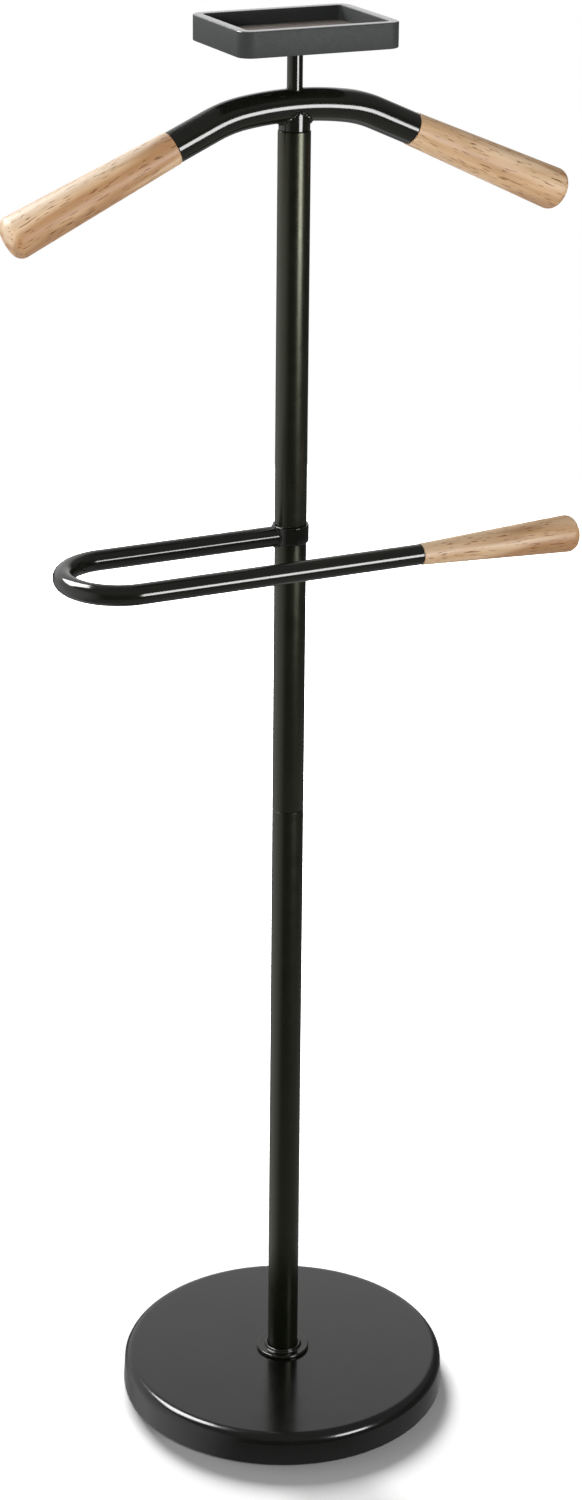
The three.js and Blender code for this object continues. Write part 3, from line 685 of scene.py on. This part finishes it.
# ---- Floor, lights and camera ----
CAMERA_AZIMUTH = math.radians(25.18)  # the camera stands to the left of the stand's front
CAMERA_DISTANCE = 2.3394
CAMERA_ASIDE = 0.0005  # how far the camera's line passes to the right of the pole
CAMERA_HEIGHT = 1.5253
CAMERA_PITCH = math.radians(18.453)
CAMERA_ROLL = math.radians(0.56)
CAMERA_LENS = 76.18
CAMERA_SHIFT = -0.13785


def facing(right, away, up):
    """A point given in metres to the right of the stand, away from the camera, and up."""
    c, s = math.cos(CAMERA_AZIMUTH), math.sin(CAMERA_AZIMUTH)
    return Vector((right * c + away * s, -right * s + away * c, up))


def around(azimuth, distance, height):
    """A point at an azimuth in degrees, to the right of the line from the stand to the camera."""
    angle = math.radians(azimuth)
    return facing(distance * math.sin(angle), -distance * math.cos(angle), height)


def make_camera():
    data = bpy.data.cameras.new("camera")
    data.sensor_width = 36
    data.lens = CAMERA_LENS
    data.shift_y = CAMERA_SHIFT
    camera = bpy.data.objects.new("camera", data)
    bpy.context.scene.collection.objects.link(camera)
    camera.location = facing(CAMERA_ASIDE, -CAMERA_DISTANCE, CAMERA_HEIGHT)
    turn = Matrix.Rotation(-CAMERA_AZIMUTH, 4, "Z") @ Matrix.Rotation(math.pi / 2 - CAMERA_PITCH, 4, "X")
    camera.rotation_euler = (turn @ Matrix.Rotation(CAMERA_ROLL, 4, "Z")).to_euler()
    bpy.context.scene.camera = camera


def aimed_light(name, kind, place, target, power):
    """A light of one kind at a place, turned towards its target."""
    data = bpy.data.lights.new(name, kind)
    data.energy = power
    light = bpy.data.objects.new(name, data)
    bpy.context.scene.collection.objects.link(light)
    light.location = place
    light.rotation_euler = (place - Vector(target)).to_track_quat("Z", "Y").to_euler()
    return light


def softbox(name, place, target, size_x, size_y, power):
    light = aimed_light(name, "AREA", place, target, power)
    light.data.shape = "RECTANGLE"
    light.data.size = size_x
    light.data.size_y = size_y
    return light


FLOOR_FRONT = 0.36  # how far the paper reaches towards the camera
FLOOR_RADIUS = 1.5
GLOW_START = 0.22  # the paper turns to plain white between these distances from the stand
GLOW_FULL = 0.6


def make_floor():
    bm = bmesh.new()
    bmesh.ops.create_circle(bm, cap_ends=True, segments=128, radius=FLOOR_RADIUS)
    mesh = bpy.data.meshes.new("floor")
    bm.to_mesh(mesh)
    bm.free()
    floor = bpy.data.objects.new("floor", mesh)
    bpy.context.scene.collection.objects.link(floor)
    floor.location = facing(0, FLOOR_RADIUS - FLOOR_FRONT, 0)
    nodes = Nodes("floor_paper")
    colour = nodes.ramp(nodes.noise(3, 2), (0.3, (0.45, 0.45, 0.453)), (0.7, (0.46, 0.46, 0.463)))
    rough = nodes.span(nodes.noise(5, 2), 0.85, 0.9)
    glow = nodes.tree.nodes.new("ShaderNodeVectorMath")
    glow.operation = "DISTANCE"
    glow.inputs[1].default_value = (-floor.location.x, -floor.location.y, 0)
    nodes.link(nodes.coord, glow.inputs[0])
    fade = nodes.span(glow.outputs["Value"], 0.0, 1.0, GLOW_START, GLOW_FULL)
    nodes.link(fade, nodes.shader.inputs["Emission Strength"])
    mesh.materials.append(nodes.finish(colour, rough, Emission_Color=(1, 1, 1, 1)))
    floor.visible_glossy = False


def make_world():
    """White to the camera. To everything else, a studio: bright paper behind and to the left, dimmer
    low down behind, some light from low on the right, and a dark room in front and overhead."""
    world = bpy.data.worlds.new("studio")
    bpy.context.scene.world = world
    world.use_nodes = True
    tree = world.node_tree

    def link(output, target):
        tree.links.new(output, target)

    def rise(value, start, end, height):
        node = tree.nodes.new("ShaderNodeMapRange")
        node.interpolation_type = "SMOOTHSTEP"
        node.inputs["From Min"].default_value = start
        node.inputs["From Max"].default_value = end
        node.inputs["To Max"].default_value = height
        link(value, node.inputs["Value"])
        return node.outputs["Result"]

    def math_node(operation, first, second):
        node = tree.nodes.new("ShaderNodeMath")
        node.operation = operation
        for socket, value in zip(node.inputs, (first, second)):
            if isinstance(value, bpy.types.NodeSocket):
                link(value, socket)
            else:
                socket.default_value = value
        return node.outputs[0]

    coord = tree.nodes.new("ShaderNodeTexCoord")
    turn = tree.nodes.new("ShaderNodeMapping")
    turn.inputs["Rotation"].default_value = (0, 0, CAMERA_AZIMUTH)
    split = tree.nodes.new("ShaderNodeSeparateXYZ")
    link(coord.outputs["Generated"], turn.inputs["Vector"])
    link(turn.outputs["Vector"], split.inputs[0])
    right, away, up = split.outputs
    left = math_node("MULTIPLY", right, -1)
    behind = math_node("MULTIPLY", rise(away, -0.1, 0.4, 1.0), rise(up, 0.9, 0.6, 1.0))
    behind = math_node("MULTIPLY", behind, rise(right, 0.55, 0.1, 1.0))
    dimmed = math_node("ADD", rise(away, 0.7, 0.25, 0.88), 0.12)
    behind = math_node("MULTIPLY", behind, math_node("MAXIMUM", dimmed, rise(up, -0.1, 0.1, 1.0)))
    beside = math_node("MULTIPLY", rise(left, 0.25, 1.05, 1.1), rise(up, 0.7, 0.35, 1.0))
    low_right = math_node("MULTIPLY", rise(right, 0.4, 0.85, 0.32), rise(up, -0.3, -0.45, 1.0))
    room = math_node("ADD", rise(up, 0.2, 0.6, 0.18), 0.1)
    room = math_node("ADD", rise(up, -0.42, -0.56, 0.22), room)
    low_part = math_node("MAXIMUM", low_right, room)
    total = math_node("MAXIMUM", math_node("MAXIMUM", behind, beside), low_part)

    background = tree.nodes["Background"]
    link(total, background.inputs["Strength"])
    background.inputs["Color"].default_value = (1, 1, 1, 1)
    seen = tree.nodes.new("ShaderNodeBackground")
    seen.inputs["Color"].default_value = (1, 1, 1, 1)
    seen.inputs["Strength"].default_value = 1.0
    path = tree.nodes.new("ShaderNodeLightPath")
    mix = tree.nodes.new("ShaderNodeMixShader")
    link(path.outputs["Is Camera Ray"], mix.inputs["Fac"])
    link(background.outputs[0], mix.inputs[1])
    link(seen.outputs[0], mix.inputs[2])
    link(mix.outputs[0], tree.nodes["World Output"].inputs["Surface"])


def floor_collection(name):
    """A collection that holds only the floor, for light linking."""
    collection = bpy.data.collections.new(name)
    collection.objects.link(bpy.data.objects["floor"])
    return collection


def make_lights():
    softbox("right_softbox", around(48, 2.1, 0.88), (0, 0, 0.88), 0.85, 0.7, 34)
    edge_light = softbox("left_softbox", around(-112, 1.5, 2.2), (0, 0, 0.3), 1.2, 1.2, 95)
    edge_light.visible_diffuse = False
    # A strong light behind the stand shapes its shadow on the floor, and reaches nothing else.
    paper_light = softbox("paper_softbox", around(-165, 2.2, 1.5), (0, 0, 0.1), 0.9, 0.8, 240)
    paper_light.visible_glossy = False
    paper_light.light_linking.receiver_collection = floor_collection("paper_only")
    # A weaker one beside it lights the stand's back, and leaves the floor out.
    back_light = softbox("back_softbox", around(-165, 2.2, 1.9), (0, 0, 0.9), 1.0, 0.9, 60)
    back_light.visible_glossy = False
    not_paper = floor_collection("not_paper")
    not_paper.collection_objects[0].light_linking.link_state = "EXCLUDE"
    back_light.light_linking.receiver_collection = not_paper
    spot = aimed_light("shoulder_spot", "SPOT", around(-40, 1.9, 1.5), facing(-0.22, 0, 1.02), 100)
    spot.data.spot_size = math.radians(26)
    spot.data.spot_blend = 1.0
    spot.data.shadow_soft_size = 0.25
    spot.visible_glossy = False


bpy.context.scene.view_settings.view_transform = "Standard"
make_camera()
make_floor()
make_world()
make_lights()
dress_cad_nodes()
make_base()
make_pole()
make_trouser_bar()
make_hanger()
make_tray()
